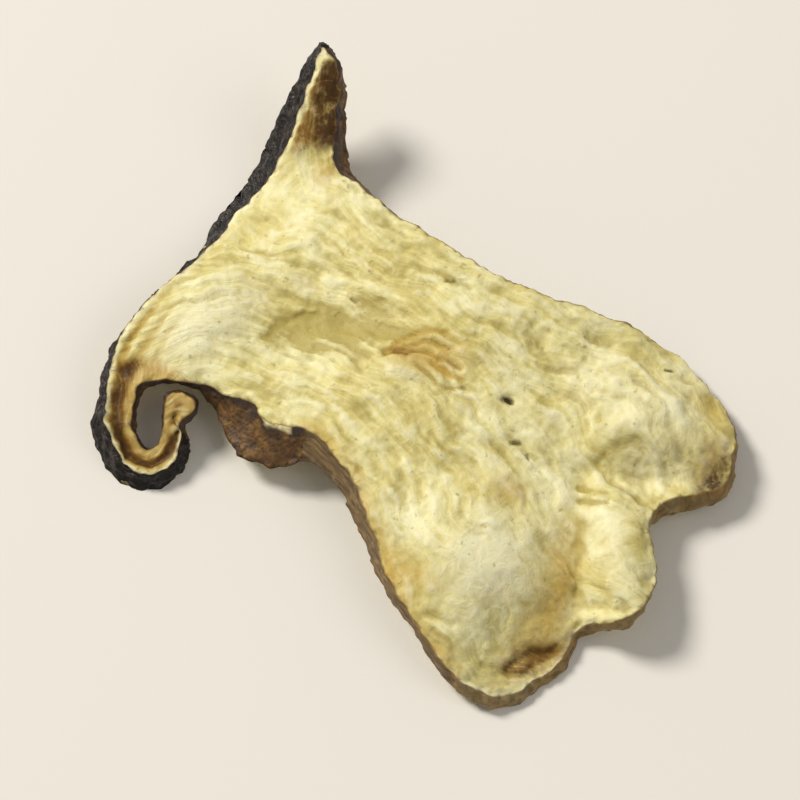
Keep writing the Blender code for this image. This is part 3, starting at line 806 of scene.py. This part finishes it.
def makeTubes():
    look = tubesLook
    tree = startMaterial("tubes")
    spot = millimetres(tree)
    blotch = addNode(tree, "TexNoise", {"Scale": 1 / look["blotchSize"], "Detail": 4, "Distortion": 0.8},
                     {"Vector": spot}, "Fac")
    uneven = addNode(tree, "TexNoise", {"Scale": 1 / look["blotchSize"], "Detail": 2},
                     {"Vector": spot}, "Color")
    moved = addNode(tree, "VectorMath", {"operation": "MULTIPLY_ADD", 1: look["poreShift"]},
                    {0: uneven, 2: spot}, "Vector")
    pores = addNode(tree, "TexVoronoi", {"Scale": 1 / look["poreSize"]}, {"Vector": moved}, "Distance")
    colour = addNode(tree, "ValToRGB", {"stops": look["tones"]}, {"Fac": blotch}, "Color")
    start, full = look["poreRange"]
    wall = addNode(tree, "MapRange", {"From Min": start, "From Max": full}, {"Value": pores}, "Result")
    colour = addNode(tree, "Mix", {"data_type": "RGBA", "blend_type": "SOFT_LIGHT",
                                   "Factor": look["poreShare"]}, {"A": colour, "B": wall}, "Result")
    # painted shade in a band below the upper rim, uneven with the blotches
    gap = addNode(tree, "Attribute", {"attribute_name": "upperGap"}, give="Fac")
    drop = addNode(tree, "Math", {"operation": "MULTIPLY_ADD", 1: look["rimShadeUneven"]},
                   {0: blotch, 2: gap}, "Value")
    start, full, most = look["rimShadeRange"]
    rimShade = addNode(tree, "MapRange", {"From Min": start, "From Max": full, "To Max": most},
                   {"Value": drop}, "Result")
    sliverHere = addNode(tree, "Attribute", {"attribute_name": "sliver"}, give="Fac")
    for cover, amount in ((look["rimShade"], rimShade), (look["sliver"], sliverHere)):
        colour = addNode(tree, "Mix", {"data_type": "RGBA", "B": linear(cover)},
                         {"Factor": amount, "A": colour}, "Result")
    finishMaterial(tree, look["shader"], {"Base Color": colour},
                   [(look["poreDepth"], pores), (look["blotchDepth"], blotch)])


stemLook = {                     # stem skin: fine lengthwise fibres, dried taupe brown
    "tones": [(0.3, "#57442B"), (0.5, "#725B3A"), (0.7, "#8F764C")],
    "fibreSize": 0.4,
    "fibreDepth": 0.12,
    "lengthwise": (1, 0.17, 1),  # draws the fibres out along the stem
    "shader": {"Roughness": 0.7},
}


def makeStemSkin():
    look = stemLook
    tree = startMaterial("stemSkin")
    drawn = addNode(tree, "VectorMath", {"operation": "MULTIPLY", 1: look["lengthwise"]},
                    {0: millimetres(tree)}, "Vector")
    strands = addNode(tree, "TexNoise", {"Scale": 1 / look["fibreSize"], "Detail": 3},
                      {"Vector": drawn}, "Fac")
    colour = addNode(tree, "ValToRGB", {"stops": look["tones"]}, {"Fac": strands}, "Color")
    finishMaterial(tree, look["shader"], {"Base Color": colour}, [(look["fibreDepth"], strands)])


makeFlesh()
makeCapSkin()
makeTubes()
makeStemSkin()
print("made the four finishes")


# Floor, light and camera

stage = {
    "floorSize": 6,              # metres, as for the lights
    "floorColour": "#E9E5DE",
    "floorRoughness": 0.7,
    "lights": [                  # name, how far left, up the picture and above, size, watts and colour
        ("key", 0.96, 0.66, 1.10, 0.5, 24.0, "#FFFBF2"),
        ("fill", -1.20, -0.30, 1.20, 1.2, 5.5, "#FFFBF4")],
    "roomColour": "#F2F0EC",
    "roomStrength": 0.32,
    "azimuth": -48,
    "elevation": 65,
    "lens": 150,
    "viewWidth": 76,
    "clipStart": 0.01,
}


def placeLight(name, left, up, height, size, power, colour):
    data = bpy.data.lights.new(name, "AREA")
    data.shape = "DISK"
    data.size = size
    data.energy = power
    data.color = linear(colour)[:3]
    light = bpy.data.objects.new(name, data)
    bpy.context.scene.collection.objects.link(light)
    turn = math.radians(stage["azimuth"])
    x = -left * math.cos(turn) - up * math.sin(turn)
    y = -left * math.sin(turn) + up * math.cos(turn)
    light.location = (x, y, height)
    light.rotation_euler = (-Vector(light.location)).to_track_quat("-Z", "Y").to_euler()


bpy.ops.mesh.primitive_plane_add(size=stage["floorSize"])
floor = bpy.context.object
floor.name = "floor"
finishMaterial(startMaterial("floorPaper"), {
    "Roughness": stage["floorRoughness"], "Base Color": linear(stage["floorColour"])})
floor.data.materials.append(bpy.data.materials["floorPaper"])

for light in stage["lights"]:
    placeLight(*light)
world = bpy.data.worlds.new("room")
bpy.context.scene.world = world
world.use_nodes = True
world.node_tree.nodes["Background"].inputs["Color"].default_value = linear(stage["roomColour"])
world.node_tree.nodes["Background"].inputs["Strength"].default_value = stage["roomStrength"]

bpy.context.scene.view_settings.view_transform = "Standard"
camera = bpy.data.objects.new("camera", bpy.data.cameras.new("camera"))
bpy.context.scene.collection.objects.link(camera)
camera.data.lens = stage["lens"]
azimuth, elevation = math.radians(stage["azimuth"]), math.radians(stage["elevation"])
flat = math.cos(elevation)
back = Vector((math.sin(azimuth) * flat, -math.cos(azimuth) * flat, math.sin(elevation)))
middle = Vector(((low + high) / 2 * mm).tolist())
camera.location = middle + back * stage["viewWidth"] * mm * stage["lens"] / camera.data.sensor_width
camera.rotation_euler = (-back).to_track_quat("-Z", "Y").to_euler()
camera.data.clip_start = stage["clipStart"]
bpy.context.scene.camera = camera
print("set the stage")
